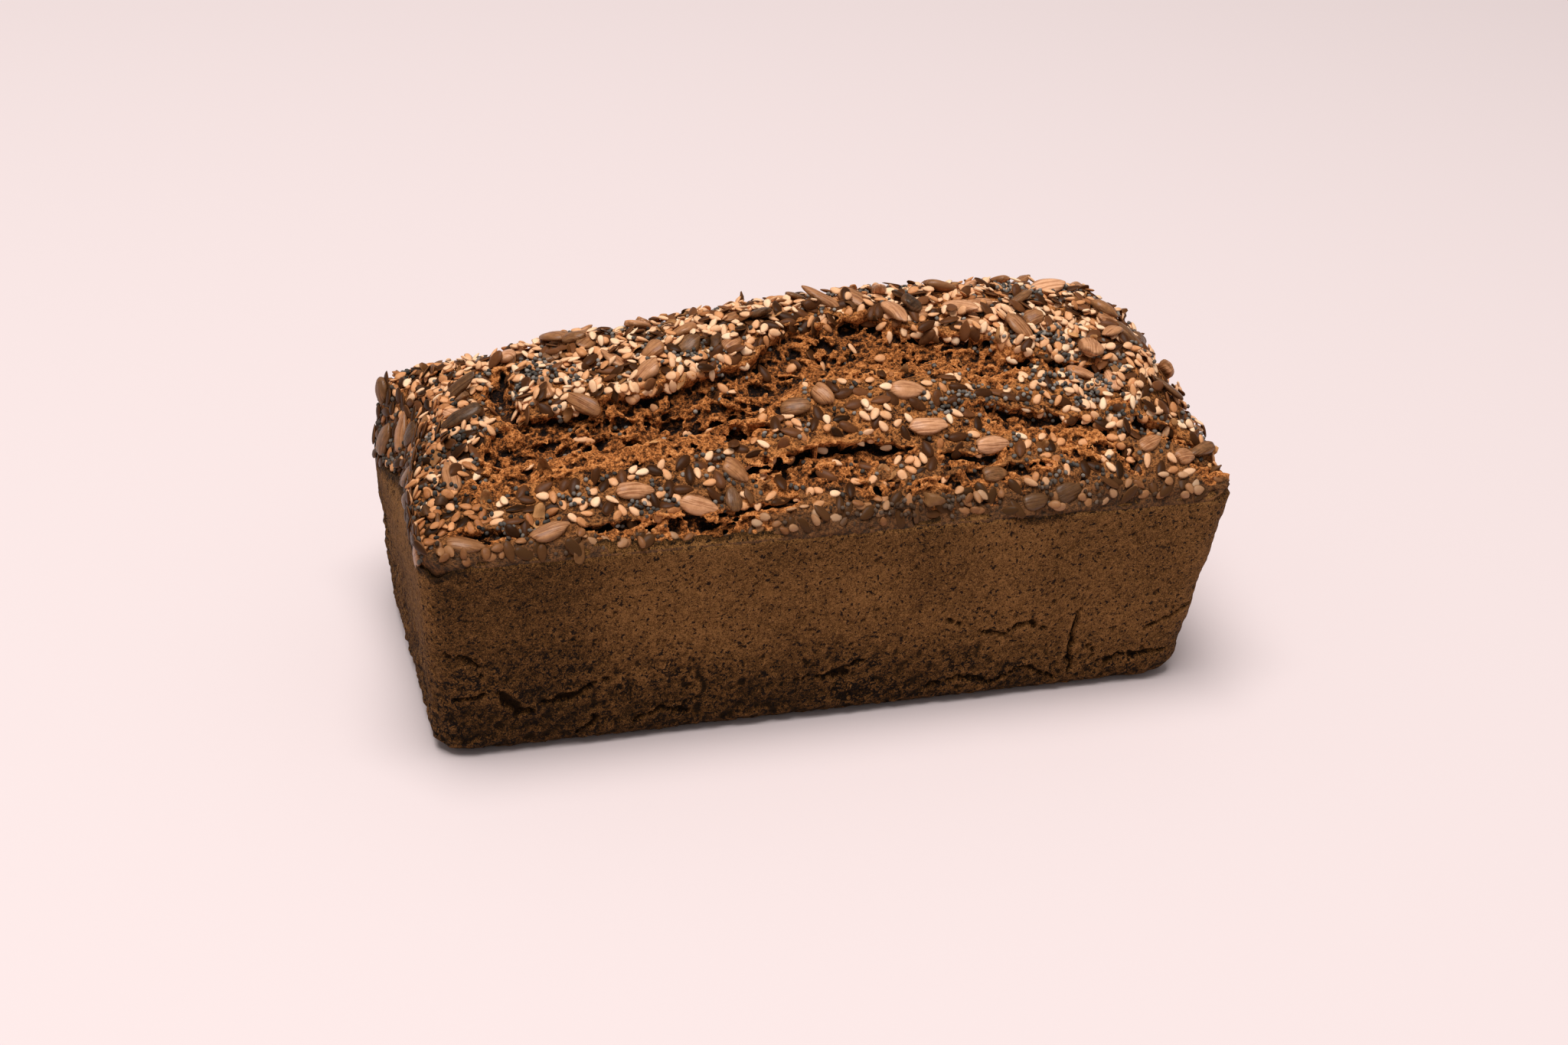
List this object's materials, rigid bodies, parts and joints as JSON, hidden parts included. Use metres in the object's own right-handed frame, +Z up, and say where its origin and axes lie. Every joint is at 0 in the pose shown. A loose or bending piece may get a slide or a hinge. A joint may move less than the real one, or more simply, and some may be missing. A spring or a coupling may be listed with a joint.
{
  "type": "seeded tin loaf",
  "caption": "Whole oblong tin loaf with smooth tapered walls and a domed, seeded, torn crown.",
  "frame": {"origin": "centre of the loaf's flat base, at the middle of its bounding box", "axes": "+X along the loaf towards its higher end, +Y towards its back, +Z up"},
  "size_m": [0.1998, 0.0926, 0.0917],
  "materials": {
    "bread": "matt brown crust, rough, with seeds baked on"
  },
  "bodies": {
    "root": {"loaf": "bread"}
  },
  "joints": []
}
